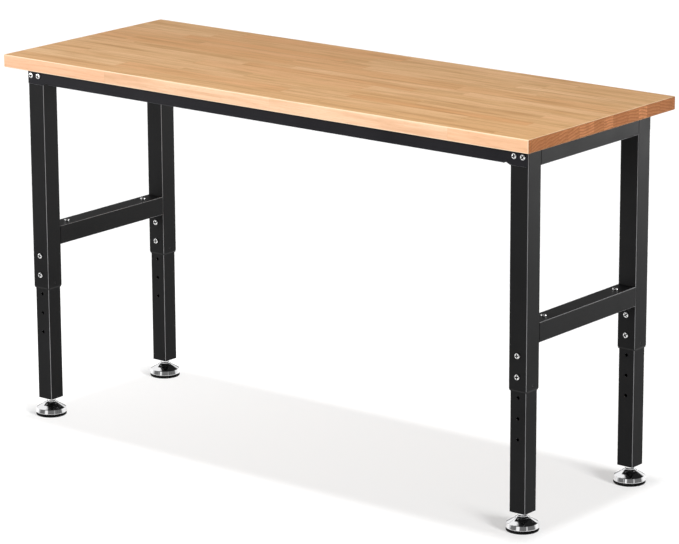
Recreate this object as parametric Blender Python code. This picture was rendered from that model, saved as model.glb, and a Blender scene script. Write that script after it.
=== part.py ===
# Height-adjustable workbench: a wooden top on a steel frame with four telescoping legs.
# Metres, +Z up, +X along the bench, -Y to its front. The origin is on the floor, under the
# middle of the top. The legs stand at their highest setting and the feet are screwed in.
import math

import bmesh
import bpy
from mathutils import Matrix, Vector

# Worktop
TOP_LENGTH = 1.600
TOP_DEPTH = 0.590
TOP_THICKNESS = 0.032
TOP_HEIGHT = 0.940
TOP_EDGE_ROUND = 0.0025
END_OVERHANG = 0.035
FRONT_OVERHANG = 0.050

# Square tubes: the fixed outer legs, the legs that slide in them and the side rails
OUTER_LEG = 0.050
OUTER_WALL = 0.0012
INNER_LEG = 0.0445
INNER_WALL = 0.0015
TUBE_CORNER = 0.0026
SIDE_RAIL_HEIGHT = 0.048
SIDE_RAIL_WALL = 0.0015
SLEEVE_END = 0.340
LEG_END = 0.0455

# Height setting: a row of holes in each inner leg and two bolts in each outer leg
LOWER_BOLT_RISE = 0.032
HOLE_PITCH = 0.050
HOLE_COUNT = 5
HOLE_MARGIN = 0.058
RAIL_ABOVE_BOLT = 0.024

# Folded sheet rails under the front and back of the top
SHEET = 0.002
SHEET_RAIL_HEIGHT = 0.044
SHEET_RAIL_FLANGE = 0.022
SHEET_BEND = 0.0035
TAB_SETBACK = 0.002
TAB_DROP = 0.0015
NOTCH_WIDTH = 0.018
NOTCH_APEX = 0.014
NOTCH_DEPTH = 0.007

# Stubs on the outer legs, over which the lower rails slide
STUB_WALL = 0.002
STUB_LENGTH = 0.070
SIDE_BOLT_MARGIN = 0.020

# Plastic bush in the mouth of each outer leg
BUSH_BELOW_BOLT = 0.004
BUSH_LIP = 0.003
BUSH_LIP_INSET = 0.0006
SNAP_RADIUS = 0.0025
SNAP_HEIGHT = 0.0105
SNAP_RECESS = 0.0006

# Bolts, machine screws and wood screws
BOLT_HEAD_RADIUS = 0.0068
BOLT_HEAD_HEIGHT = 0.0042
BOLT_RADIUS = 0.0040
SIDE_BOLT_LENGTH = 0.012
SCREW_HEAD_RADIUS = 0.0066
SCREW_HEAD_HEIGHT = 0.0036
SCREW_RADIUS = 0.0030
SCREW_LENGTH = 0.012
SCREW_SPACING = 0.024
WOOD_SCREW_HEAD_RADIUS = 0.0050
WOOD_SCREW_HEAD_HEIGHT = 0.0028
WOOD_SCREW_RADIUS = 0.0022
WOOD_SCREW_BITE = 0.020
WOOD_SCREW_INSET = 0.120
DRIVER_HOLE_RADIUS = 0.0060
SCREW_TIP = 0.0008
RECESS_WIDTH = 0.0018
RECESS_REACH = 0.0042
RECESS_DEPTH = 0.0020

# Levelling feet
FOOT_RADIUS = 0.040
FOOT_TRAVEL = 0.025
STUD_RADIUS = 0.006
STUD_CHAMFER = 0.001
STUD_FLATS = 0.019
STUD_HEAD_RADIUS = 0.009
STUD_HEAD_HEIGHT = 0.0037
PLUG_HEIGHT = 0.020
PAD_HEIGHT = 0.0082
PAD_INSET = 0.0012
PAD_CHAMFER = 0.0030
CUP_SKIRT = 0.0105
CUP_TOP = 0.037
CUP_NECK_RADIUS = 0.010
CUP_WALL = 0.002
CUP_HUB = 0.0045
CUP_DOME = 0.0012

# Clearances, and the numbers of facets
GAP = 0.0003
CUT_MARGIN = 0.010
CORNER_STEPS = 3
NUB_FACETS = 10
SCREW_FACETS = 14
STUD_FACETS = 24
CUP_FACETS = 32
CUP_STEPS = 5

# Places worked out from the sizes above
TOP_UNDERSIDE = TOP_HEIGHT - TOP_THICKNESS
RAIL_TOP = TOP_UNDERSIDE - GAP
LEG_X = TOP_LENGTH / 2 - END_OVERHANG - OUTER_LEG / 2
LEG_Y = TOP_DEPTH / 2 - FRONT_OVERHANG - OUTER_LEG / 2
BORE = OUTER_LEG - 2 * OUTER_WALL
SIDE_RAIL_LENGTH = 2 * LEG_Y - OUTER_LEG - 2 * GAP
LOWER_BOLT_HEIGHT = SLEEVE_END + LOWER_BOLT_RISE
UPPER_BOLT_HEIGHT = LOWER_BOLT_HEIGHT + HOLE_PITCH
LOWER_RAIL_TOP = UPPER_BOLT_HEIGHT + RAIL_ABOVE_BOLT + SIDE_RAIL_HEIGHT
INNER_LEG_TOP = UPPER_BOLT_HEIGHT + HOLE_MARGIN
BUSH_TOP = LOWER_BOLT_HEIGHT - BOLT_RADIUS - BUSH_BELOW_BOLT
SNAP_CENTRE = SLEEVE_END + SNAP_HEIGHT
SHEET_FACE = LEG_Y + OUTER_LEG / 2 + GAP + SHEET
SHEET_MIDDLE = RAIL_TOP - SHEET_RAIL_HEIGHT / 2
CHANNEL_END = LEG_X - OUTER_LEG / 2 - NOTCH_WIDTH
SIDE_BOLT_Y = LEG_Y - OUTER_LEG / 2 - STUB_LENGTH + SIDE_BOLT_MARGIN
CUP_LOW = PAD_HEIGHT + GAP
CUP_SHOULDER = CUP_LOW + CUP_SKIRT
CUP_EDGE = CUP_WALL / 2
HUB_LOW = CUP_TOP - CUP_HUB
PAD_TOP = HUB_LOW - STUD_HEAD_HEIGHT - 2 * GAP

# Each corner's side of the bench (-1 left, 1 right) and face (-1 front, 1 back)
CORNERS = {
    "front_left": (-1, -1),
    "front_right": (1, -1),
    "back_left": (-1, 1),
    "back_right": (1, 1),
}


def clear_scene():
    """Removes whatever the file holds."""
    for item in list(bpy.data.objects):
        bpy.data.objects.remove(item, do_unlink=True)


def finish(name, color, roughness, metallic):
    """One plain Principled material for a group of pieces."""
    material = bpy.data.materials.new(name)
    material.use_nodes = True
    shader = material.node_tree.nodes["Principled BSDF"]
    shader.inputs["Base Color"].default_value = (*color, 1.0)
    shader.inputs["Roughness"].default_value = roughness
    shader.inputs["Metallic"].default_value = metallic
    material.diffuse_color = (*color, 1.0)
    return material


def to_mesh(shape, name):
    """Turns a bmesh into a closed mesh with its faces pointing out."""
    bmesh.ops.remove_doubles(shape, verts=shape.verts, dist=0.000001)
    bmesh.ops.recalc_face_normals(shape, faces=shape.faces)
    mesh = bpy.data.meshes.new(name)
    shape.to_mesh(mesh)
    shape.free()
    return mesh


def place(name, mesh, material, location=(0, 0, 0), rotation=(0, 0, 0)):
    """Puts a mesh in the scene as one named piece."""
    piece = bpy.data.objects.new(name, mesh)
    bpy.context.scene.collection.objects.link(piece)
    piece.location = location
    piece.rotation_euler = rotation
    if not mesh.materials:
        mesh.materials.append(material)
    mesh.shade_smooth()
    mesh.set_sharp_from_angle(angle=math.radians(35))
    return piece


def combined(base, tools, operation):
    """The exact Boolean of a mesh with each of a list of other meshes, as a new mesh."""
    holder = bpy.data.objects.new("holder", base)
    helpers = [bpy.data.objects.new("helper", tool) for tool in tools]
    for item in [holder] + helpers:
        bpy.context.scene.collection.objects.link(item)
    for helper in helpers:
        helper.hide_render = True
        helper.display_type = "WIRE"
        step = holder.modifiers.new("step", "BOOLEAN")
        step.operation = operation
        step.solver = "EXACT"
        step.object = helper
    bpy.context.view_layer.update()
    graph = bpy.context.evaluated_depsgraph_get()
    result = bpy.data.meshes.new_from_object(holder.evaluated_get(graph))
    for item in [holder] + helpers:
        bpy.data.objects.remove(item, do_unlink=True)
    result.materials.clear()
    return result


def cut(base, tools):
    return combined(base, tools, "DIFFERENCE")


def join(base, tools):
    return combined(base, tools, "UNION")


def extruded(name, outline, offset):
    """A closed solid: a flat outline drawn out along an offset."""
    shape = bmesh.new()
    face = shape.faces.new([shape.verts.new(point) for point in outline])
    drawn = bmesh.ops.extrude_face_region(shape, geom=[face])["geom"]
    moved = [item for item in drawn if isinstance(item, bmesh.types.BMVert)]
    bmesh.ops.translate(shape, verts=moved, vec=offset)
    return to_mesh(shape, name)


def prism(name, points, low, high):
    """A closed solid with the same outline from one height to another."""
    return extruded(name, [(x, y, low) for x, y in points], (0, 0, high - low))


def rounded_square(width, depth, radius):
    """Points round a rectangle with round corners, centred on zero."""
    points = []
    for quarter, (side, face) in enumerate([(1, 1), (-1, 1), (-1, -1), (1, -1)]):
        centre = Vector((side * (width / 2 - radius), face * (depth / 2 - radius)))
        for step in range(CORNER_STEPS + 1):
            angle = math.pi / 2 * (quarter + step / CORNER_STEPS)
            points.append(centre + radius * Vector((math.cos(angle), math.sin(angle))))
    return points


def sleeve(name, rings):
    """A closed hollow solid: the rings run up its outside and down its inside."""
    shape = bmesh.new()
    loops = [[shape.verts.new((x, y, height)) for x, y in points] for points, height in rings]
    for loop, following in zip(loops, loops[1:] + loops[:1]):
        count = len(loop)
        for i in range(count):
            j = (i + 1) % count
            shape.faces.new((loop[i], loop[j], following[j], following[i]))
    return to_mesh(shape, name)


def tube(name, width, depth, wall, low, high):
    """A hollow rectangular tube along Z, open at both ends."""
    outside = rounded_square(width, depth, TUBE_CORNER)
    inside = rounded_square(width - 2 * wall, depth - 2 * wall, TUBE_CORNER - wall)
    return sleeve(name, [(outside, low), (outside, high), (inside, high), (inside, low)])


def turned(name, profile, facets):
    """A solid of revolution: radii and heights, from the axis out and back, or in a closed ring."""
    shape = bmesh.new()
    verts = [shape.verts.new((radius, 0, height)) for radius, height in profile]
    edges = [shape.edges.new(pair) for pair in zip(verts, verts[1:])]
    if profile[0][0] > 0:
        edges.append(shape.edges.new((verts[-1], verts[0])))
    bmesh.ops.spin(shape, geom=verts + edges, cent=(0, 0, 0), axis=(0, 0, 1), angle=2 * math.pi,
                   steps=facets, use_merge=True)
    return to_mesh(shape, name)


def rod(radius, start, end, facets=SCREW_FACETS):
    """A closed cylinder between two points, for holes and nubs."""
    start = Vector(start)
    reach = Vector(end) - start
    mesh = turned("rod", [(0, 0), (radius, 0), (radius, reach.length), (0, reach.length)], facets)
    mesh.transform(Matrix.Translation(start) @ reach.to_track_quat("Z", "Y").to_matrix().to_4x4())
    return mesh


def hole_through(radius, x, y, height):
    """A short upright cylinder that cuts through a sheet at a height."""
    return rod(radius, (x, y, height - CUT_MARGIN), (x, y, height + CUT_MARGIN))


def cross_recess(head_height):
    """The cross cut in a screw's head."""
    half = RECESS_WIDTH / 2
    reach = RECESS_REACH
    outline = [(half, half), (half, reach), (-half, reach), (-half, half), (-reach, half), (-reach, -half),
               (-half, -half), (-half, -reach), (half, -reach), (half, -half), (reach, -half), (reach, half)]
    return prism("cross", outline, head_height - RECESS_DEPTH, head_height + CUT_MARGIN)


def screw(name, head_radius, head_height, radius, length, crossed=True):
    """A domed screw whose head stands on z = 0, with its shank down the -Z axis."""
    mesh = turned(name, [
        (0, -length),
        (radius - SCREW_TIP, -length),
        (radius, SCREW_TIP - length),
        (radius, 0),
        (head_radius, 0),
        (head_radius, head_height * 0.35),
        (head_radius * 0.86, head_height * 0.78),
        (head_radius * 0.50, head_height),
        (0, head_height),
    ], SCREW_FACETS)
    return cut(mesh, [cross_recess(head_height)]) if crossed else mesh


def wood_screw_places():
    """Where a wood screw goes up through a sheet rail's flange, by corner."""
    reach = CHANNEL_END - WOOD_SCREW_INSET
    inward = SHEET_FACE - (SHEET_BEND + SHEET_RAIL_FLANGE) / 2
    return {corner: (side * reach, face * inward) for corner, (side, face) in CORNERS.items()}


def make_worktop(wood):
    """The glued wooden slab, with a blind hole for each wood screw."""
    shape = bmesh.new()
    bmesh.ops.create_cube(shape, size=1.0)
    bmesh.ops.scale(shape, verts=shape.verts, vec=(TOP_LENGTH, TOP_DEPTH, TOP_THICKNESS))
    bmesh.ops.translate(shape, verts=shape.verts, vec=(0, 0, TOP_HEIGHT - TOP_THICKNESS / 2))
    bmesh.ops.bevel(shape, geom=shape.edges[:], offset=TOP_EDGE_ROUND, segments=2, profile=0.5,
                    affect="EDGES")
    slab = to_mesh(shape, "worktop")
    end = TOP_UNDERSIDE + WOOD_SCREW_BITE + GAP
    holes = [rod(WOOD_SCREW_RADIUS + GAP, (x, y, TOP_UNDERSIDE - CUT_MARGIN), (x, y, end))
             for x, y in wood_screw_places().values()]
    place("worktop", cut(slab, holes), wood)


def bend(height, radius, start, turn):
    """Points of a quarter bend of the sheet, about a centre one bend radius behind its face."""
    angles = [start + turn * step / CORNER_STEPS for step in range(CORNER_STEPS + 1)]
    return [(SHEET_BEND + radius * math.cos(angle), height + radius * math.sin(angle)) for angle in angles]


def channel_outline(low, high):
    """The folded section: an upright web at 0 to SHEET, a flange back from its top and bottom."""
    quarter = math.pi / 2
    inner = SHEET_BEND - SHEET
    outside = bend(high - SHEET_BEND, SHEET_BEND, quarter, quarter)
    outside += bend(low + SHEET_BEND, SHEET_BEND, 2 * quarter, quarter)
    inside = bend(low + SHEET_BEND, inner, 3 * quarter, -quarter)
    inside += bend(high - SHEET_BEND, inner, 2 * quarter, -quarter)
    lower_edge = [(SHEET_RAIL_FLANGE, low), (SHEET_RAIL_FLANGE, low + SHEET)]
    upper_edge = [(SHEET_RAIL_FLANGE, high - SHEET), (SHEET_RAIL_FLANGE, high)]
    return outside + lower_edge + inside + upper_edge


def tab(side, low, high):
    """The flat plate over a leg's face, with a notch beside the leg where the flanges stop."""
    leg_side = LEG_X - OUTER_LEG / 2
    apex = leg_side - NOTCH_APEX
    reach = LEG_X + OUTER_LEG / 2 - TAB_SETBACK
    start = CHANNEL_END - SHEET
    web = low + TAB_DROP
    outline = [(start, web + SHEET_BEND), (CHANNEL_END, web + SHEET_BEND), (CHANNEL_END, web),
               (apex, low + NOTCH_DEPTH), (leg_side, low), (reach, low), (reach, high), (leg_side, high),
               (apex, high - NOTCH_DEPTH), (CHANNEL_END, high), (CHANNEL_END, high - SHEET_BEND),
               (start, high - SHEET_BEND)]
    return extruded("tab", [(side * x, -SHEET_FACE, height) for x, height in outline], (0, SHEET, 0))


def sheet_rail():
    """The folded rail as it lies at the front, with its screw holes."""
    low = RAIL_TOP - SHEET_RAIL_HEIGHT
    outline = channel_outline(low + TAB_DROP, RAIL_TOP)
    section = [(-CHANNEL_END, y - SHEET_FACE, height) for y, height in outline]
    channel = extruded("sheet_rail", section, (2 * CHANNEL_END, 0, 0))
    rail = join(channel, [tab(side, low, RAIL_TOP) for side in (-1, 1)])
    holes = []
    for side in (-1, 1):
        for shift in (-1, 1):
            x = side * LEG_X + shift * SCREW_SPACING / 2
            holes.append(rod(SCREW_RADIUS + GAP, (x, -SHEET_FACE - CUT_MARGIN, SHEET_MIDDLE),
                             (x, CUT_MARGIN - SHEET_FACE, SHEET_MIDDLE)))
    for corner, (x, y) in wood_screw_places().items():
        if CORNERS[corner][1] < 0:
            holes.append(hole_through(WOOD_SCREW_RADIUS + GAP, x, y, RAIL_TOP))
            holes.append(hole_through(DRIVER_HOLE_RADIUS, x, y, low))
    return cut(rail, holes)


def make_sheet_rails(steel):
    """The front rail, and the same rail turned round for the back."""
    mesh = sheet_rail()
    place("front_rail", mesh, steel)
    place("back_rail", mesh, steel, rotation=(0, 0, math.pi))


def side_rail(top):
    """A side rail's tube along Y, from leg to leg, flush with the legs' sides."""
    half = SIDE_RAIL_LENGTH / 2
    mesh = tube("side_rail", OUTER_LEG, SIDE_RAIL_HEIGHT, SIDE_RAIL_WALL, -half, half)
    level = Matrix.Translation((0, 0, top - SIDE_RAIL_HEIGHT / 2))
    mesh.transform(level @ Matrix.Rotation(math.pi / 2, 4, "X"))
    return mesh


def make_side_rails(steel):
    """The top rail and the lower rail at each end of the bench."""
    top_rail = side_rail(RAIL_TOP)
    holes = [hole_through(BOLT_RADIUS + GAP, 0, face * SIDE_BOLT_Y, LOWER_RAIL_TOP) for face in (-1, 1)]
    lower_rail = cut(side_rail(LOWER_RAIL_TOP), holes)
    for label, side in (("left", -1), ("right", 1)):
        place(label + "_top_rail", top_rail, steel, (side * LEG_X, 0, 0))
        place(label + "_lower_rail", lower_rail, steel, (side * LEG_X, 0, 0))


def rail_stub(face):
    """The short tube welded to a leg, which a lower rail slides over."""
    width = OUTER_LEG - 2 * SIDE_RAIL_WALL - 2 * GAP
    height = SIDE_RAIL_HEIGHT - 2 * SIDE_RAIL_WALL - 2 * GAP
    root = OUTER_LEG / 2 - OUTER_WALL / 2
    stub = tube("stub", width, height, STUB_WALL, root, OUTER_LEG / 2 + STUB_LENGTH)
    level = Matrix.Translation((0, 0, LOWER_RAIL_TOP - SIDE_RAIL_HEIGHT / 2))
    stub.transform(level @ Matrix.Rotation(face * math.pi / 2, 4, "X"))
    return stub


def outer_leg(face):
    """The fixed leg of a front (face -1) or back (face 1) corner, with its rail stub."""
    leg = tube("outer_leg", OUTER_LEG, OUTER_LEG, OUTER_WALL, SLEEVE_END, RAIL_TOP)
    leg = join(leg, [rail_stub(face)])
    outside = OUTER_LEG / 2 + CUT_MARGIN
    inside = OUTER_LEG / 2 - CUT_MARGIN
    holes = [rod(BOLT_RADIUS + GAP, (0, -outside, height), (0, -inside, height))
             for height in (UPPER_BOLT_HEIGHT, LOWER_BOLT_HEIGHT)]
    for shift in (-1, 1):
        x = shift * SCREW_SPACING / 2
        holes.append(rod(SCREW_RADIUS + GAP, (x, face * inside, SHEET_MIDDLE),
                         (x, face * outside, SHEET_MIDDLE)))
    holes.append(rod(SNAP_RADIUS, (-outside, 0, SNAP_CENTRE), (outside, 0, SNAP_CENTRE), NUB_FACETS))
    holes.append(hole_through(BOLT_RADIUS + GAP, 0, face * (SIDE_BOLT_Y - LEG_Y), LOWER_RAIL_TOP))
    return cut(leg, holes)


def inner_leg():
    """The sliding leg, with its row of height holes in the front face."""
    leg = tube("inner_leg", INNER_LEG, INNER_LEG, INNER_WALL, LEG_END, INNER_LEG_TOP)
    outside = INNER_LEG / 2 + CUT_MARGIN
    inside = INNER_LEG / 2 - CUT_MARGIN
    heights = [UPPER_BOLT_HEIGHT - index * HOLE_PITCH for index in range(HOLE_COUNT)]
    holes = [rod(BOLT_RADIUS + GAP, (0, -outside, height), (0, -inside, height)) for height in heights]
    return cut(leg, holes)


def guide_bush():
    """The plastic collar between the two legs, with a lip below and a snap nub on each side."""
    width = BORE - 2 * GAP
    opening = INNER_LEG + 2 * GAP
    lip_width = OUTER_LEG - 2 * BUSH_LIP_INSET
    corner = TUBE_CORNER - (width - opening) / 2
    inside = rounded_square(opening, opening, corner)
    outside = rounded_square(width, width, corner + (width - opening) / 2)
    lip = rounded_square(lip_width, lip_width, corner + (lip_width - opening) / 2)
    lip_top = SLEEVE_END - GAP
    lip_low = lip_top - BUSH_LIP
    bush = sleeve("guide_bush", [(lip, lip_low), (lip, lip_top), (outside, lip_top), (outside, BUSH_TOP),
                                 (inside, BUSH_TOP), (inside, lip_low)])
    root = (width + opening) / 4
    reach = OUTER_LEG / 2 - SNAP_RECESS
    nubs = [rod(SNAP_RADIUS - GAP, (side * root, 0, SNAP_CENTRE), (side * reach, 0, SNAP_CENTRE), NUB_FACETS)
            for side in (-1, 1)]
    return join(bush, nubs)


def end_plug():
    """The threaded plug in the foot of the inner leg."""
    width = INNER_LEG - 2 * INNER_WALL - 2 * GAP
    top = LEG_END + PLUG_HEIGHT
    plug = prism("end_plug", rounded_square(width, width, TUBE_CORNER), LEG_END, top)
    bore = rod(STUD_RADIUS + GAP, (0, 0, LEG_END - CUT_MARGIN), (0, 0, top + CUT_MARGIN), STUD_FACETS)
    return cut(plug, [bore])


def foot_stud():
    """The foot's threaded stud, with a hexagon for a spanner and a head inside the cup."""
    low = PAD_TOP + GAP
    head_top = low + STUD_HEAD_HEIGHT
    end = LEG_END + PLUG_HEIGHT + FOOT_TRAVEL
    shaft = turned("foot_stud", [
        (0, low),
        (STUD_HEAD_RADIUS, low),
        (STUD_HEAD_RADIUS, head_top),
        (STUD_RADIUS, head_top),
        (STUD_RADIUS, end - STUD_CHAMFER),
        (STUD_RADIUS - STUD_CHAMFER, end),
        (0, end),
    ], STUD_FACETS)
    corner = STUD_FLATS / 2 / math.cos(math.pi / 6)
    outline = [(corner * math.cos(math.pi / 3 * i), corner * math.sin(math.pi / 3 * i)) for i in range(6)]
    return join(shaft, [prism("hexagon", outline, CUP_TOP + GAP, LEG_END - GAP)])


def cup_slope():
    """Points up the outside of the cup's cone, from its shoulder to its neck."""
    rim = FOOT_RADIUS - CUP_EDGE
    low = CUP_SHOULDER + CUP_EDGE
    points = []
    for step in range(CUP_STEPS + 1):
        share = step / CUP_STEPS
        height = low + (CUP_TOP - low) * share + CUP_DOME * math.sin(math.pi * share)
        points.append((rim + (CUP_NECK_RADIUS - rim) * share, height))
    return points


def cup_inside():
    """Points up the inside of the cup's cone, from its skirt to the flat under the hub."""
    skirt = FOOT_RADIUS - CUP_WALL
    lowered = [(min(radius, skirt), height - CUP_WALL - CUP_EDGE) for radius, height in cup_slope()]
    return [(radius, height) for radius, height in lowered if height < HUB_LOW]


def foot_cup():
    """The plated dish over the pad: an upright skirt, a cone and a hub that holds the stud."""
    bore = STUD_RADIUS + GAP
    inside = cup_inside()
    return turned("foot_cup", [(bore, CUP_TOP)] + cup_slope()[::-1] + [
        (FOOT_RADIUS, CUP_SHOULDER),
        (FOOT_RADIUS, CUP_LOW + CUP_EDGE),
        (FOOT_RADIUS - CUP_EDGE, CUP_LOW),
        (FOOT_RADIUS - CUP_WALL, CUP_LOW),
    ] + inside + [(inside[-1][0] - CUP_WALL, HUB_LOW), (bore, HUB_LOW)], CUP_FACETS)


def foot_pad():
    """The rubber pad, pressed up into the cup and standing on the floor."""
    rim = FOOT_RADIUS - PAD_INSET
    plug = FOOT_RADIUS - CUP_WALL - GAP
    crown = [(min(radius, plug), min(height - 2 * GAP, PAD_TOP)) for radius, height in cup_inside()]
    return turned("foot_pad", [
        (0, 0),
        (rim - PAD_CHAMFER, 0),
        (rim, PAD_CHAMFER),
        (rim, PAD_HEIGHT),
        (plug, PAD_HEIGHT),
    ] + crown + [(0, crown[-1][1])], CUP_FACETS)


def make_legs(steel, plastic, zinc, chrome, rubber):
    """The legs and feet, each piece once for every corner."""
    outer = {-1: outer_leg(-1), 1: outer_leg(1)}
    inner = inner_leg()
    bush = guide_bush()
    plug = end_plug()
    stud = foot_stud()
    cup = foot_cup()
    pad = foot_pad()
    for corner, (side, face) in CORNERS.items():
        axis = (side * LEG_X, face * LEG_Y, 0)
        place(corner + "_outer_leg", outer[face], steel, axis)
        place(corner + "_inner_leg", inner, steel, axis)
        place(corner + "_guide_bush", bush, plastic, axis)
        place(corner + "_end_plug", plug, plastic, axis)
        place(corner + "_foot_stud", stud, zinc, axis)
        place(corner + "_foot_cup", cup, chrome, axis)
        place(corner + "_foot_pad", pad, rubber, axis)


def make_lock_bolts(zinc):
    """Two bolts in the front of each outer leg. They end just short of the inner leg."""
    length = GAP + OUTER_WALL + (BORE - INNER_LEG) / 2 - GAP
    mesh = screw("lock_bolt", BOLT_HEAD_RADIUS, BOLT_HEAD_HEIGHT, BOLT_RADIUS, length)
    for corner, (side, face) in CORNERS.items():
        seat = face * LEG_Y - OUTER_LEG / 2 - GAP
        for label, height in (("upper", UPPER_BOLT_HEIGHT), ("lower", LOWER_BOLT_HEIGHT)):
            place(f"{corner}_lock_bolt_{label}", mesh, zinc, (side * LEG_X, seat, height),
                  (math.pi / 2, 0, 0))


def make_rail_screws(zinc):
    """Two screws through each end of the sheet rails into the legs."""
    mesh = screw("rail_screw", SCREW_HEAD_RADIUS, SCREW_HEAD_HEIGHT, SCREW_RADIUS, SCREW_LENGTH)
    for corner, (side, face) in CORNERS.items():
        for label, shift in (("outer", 1), ("inner", -1)):
            x = side * (LEG_X + shift * SCREW_SPACING / 2)
            place(f"{corner}_rail_screw_{label}", mesh, zinc, (x, face * (SHEET_FACE + GAP), SHEET_MIDDLE),
                  (-face * math.pi / 2, 0, 0))


def make_side_bolts(zinc):
    """One bolt down through each end of the lower rails into the stub inside it."""
    mesh = screw("side_bolt", BOLT_HEAD_RADIUS, BOLT_HEAD_HEIGHT, BOLT_RADIUS, SIDE_BOLT_LENGTH)
    for corner, (side, face) in CORNERS.items():
        place(corner + "_side_bolt", mesh, zinc, (side * LEG_X, face * SIDE_BOLT_Y, LOWER_RAIL_TOP + GAP))


def make_wood_screws(zinc):
    """The screws that hold the top down, one near each corner."""
    seat = RAIL_TOP - SHEET - GAP
    length = TOP_UNDERSIDE + WOOD_SCREW_BITE - seat
    mesh = screw("wood_screw", WOOD_SCREW_HEAD_RADIUS, WOOD_SCREW_HEAD_HEIGHT, WOOD_SCREW_RADIUS, length,
                 crossed=False)
    for corner, (x, y) in wood_screw_places().items():
        place(corner + "_wood_screw", mesh, zinc, (x, y, seat), (math.pi, 0, 0))


def build():
    """Clears the scene and makes the whole bench."""
    clear_scene()
    wood = finish("oiled_wood", (0.72, 0.47, 0.27), 0.5, 0.0)
    steel = finish("black_powder_coat", (0.030, 0.030, 0.031), 0.45, 0.2)
    plastic = finish("black_plastic", (0.018, 0.018, 0.018), 0.5, 0.0)
    zinc = finish("zinc_plate", (0.62, 0.62, 0.62), 0.3, 1.0)
    chrome = finish("chrome_plate", (0.80, 0.80, 0.80), 0.08, 1.0)
    rubber = finish("black_rubber", (0.012, 0.012, 0.012), 0.75, 0.0)
    make_worktop(wood)
    make_sheet_rails(steel)
    make_side_rails(steel)
    make_legs(steel, plastic, zinc, chrome, rubber)
    make_lock_bolts(zinc)
    make_rail_screws(zinc)
    make_side_bolts(zinc)
    make_wood_screws(zinc)


build()
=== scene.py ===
# %% [markdown]
# The bench as a dressed model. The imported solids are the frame: they hold every size and
# place, so this lesson only adds what a solid lacks, which is its surface. Most tubes keep
# their solids and get a new finish. The wooden top, the screws and the feet are modelled
# again in more detail, because light shows their edges and curves.

import math

import bmesh
import bpy
from mathutils import Matrix, Vector


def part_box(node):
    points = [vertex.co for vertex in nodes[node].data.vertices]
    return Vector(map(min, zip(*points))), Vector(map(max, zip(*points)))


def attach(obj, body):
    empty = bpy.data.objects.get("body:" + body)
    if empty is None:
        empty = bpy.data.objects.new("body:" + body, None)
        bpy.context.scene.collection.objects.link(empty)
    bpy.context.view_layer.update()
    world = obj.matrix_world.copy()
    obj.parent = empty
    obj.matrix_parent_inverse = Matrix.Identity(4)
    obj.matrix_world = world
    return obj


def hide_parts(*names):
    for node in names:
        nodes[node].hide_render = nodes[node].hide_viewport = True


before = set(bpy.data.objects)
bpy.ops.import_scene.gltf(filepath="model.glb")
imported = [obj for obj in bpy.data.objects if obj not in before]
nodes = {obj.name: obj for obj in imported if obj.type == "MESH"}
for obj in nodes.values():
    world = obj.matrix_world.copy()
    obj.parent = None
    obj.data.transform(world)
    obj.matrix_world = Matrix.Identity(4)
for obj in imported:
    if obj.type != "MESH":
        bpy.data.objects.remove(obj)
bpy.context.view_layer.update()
CORNERS = ("front_left", "front_right", "back_left", "back_right")

# %% [markdown]
# A finish is a Principled shader with textures wired into it. Wiring by hand takes several
# lines a node, so a small class does it: each value is either a number for the socket or
# another node's output to link. Texture places come from the object's own coordinates,
# which are metres here, so a scale of 1000 means a detail of about a millimetre.


# %% A helper for wiring shader nodes
class Wiring:
    """A tree of shader nodes under construction."""

    # A Mix node has sockets for numbers, vectors and colours. These are the factor and the
    # two colours that go in, and the colour that comes out.
    MIX_INPUTS = (0, 6, 7)
    MIX_OUTPUT = 2

    def __init__(self, tree):
        self.tree = tree

    def add(self, kind, inputs, **settings):
        """Makes a node, sets its options, then fills or links its inputs."""
        node = self.tree.nodes.new(kind)
        for key, value in settings.items():
            setattr(node, key, value)
        for key, value in inputs.items():
            self.fill(node.inputs[key], value)
        return node

    def fill(self, socket, value):
        if isinstance(value, bpy.types.NodeSocket):
            self.tree.links.new(value, socket)
        else:
            socket.default_value = value

    def math(self, operation, first, second=0.0):
        return self.add("ShaderNodeMath", {0: first, 1: second}, operation=operation).outputs[0]

    def vector(self, operation, first, second):
        node = self.add("ShaderNodeVectorMath", {0: first, 1: second}, operation=operation)
        return node.outputs["Value" if operation == "DOT_PRODUCT" else "Vector"]

    def noise(self, places, scale, detail=3.0, roughness=0.5):
        inputs = {"Vector": places, "Scale": scale, "Detail": detail, "Roughness": roughness}
        return self.add("ShaderNodeTexNoise", inputs).outputs["Fac"]

    def stretched(self, places, scale):
        return self.add("ShaderNodeMapping", {"Vector": places, "Scale": scale}).outputs[0]

    def between(self, factor, low, high, from_low=0.0, from_high=1.0):
        """A value that runs from low to high while the factor runs over its own range."""
        inputs = {"Value": factor, "From Min": from_low, "From Max": from_high,
                  "To Min": low, "To Max": high}
        return self.add("ShaderNodeMapRange", inputs).outputs[0]

    def blend(self, factor, first, second):
        """Two colours mixed by a factor."""
        node = self.add("ShaderNodeMix", {}, data_type="RGBA")
        for index, value in zip(self.MIX_INPUTS, (factor, first, second)):
            self.fill(node.inputs[index], (*value, 1.0) if isinstance(value, tuple) else value)
        return node.outputs[self.MIX_OUTPUT]

    def shown(self):
        """1 where the eye, a mirror or glass looks, and 0 where light is only gathered."""
        rays = self.add("ShaderNodeLightPath", {})
        glossy = self.math("MAXIMUM", rays.outputs["Is Camera Ray"], rays.outputs["Is Glossy Ray"])
        return self.math("MAXIMUM", glossy, rays.outputs["Is Transmission Ray"])


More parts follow.
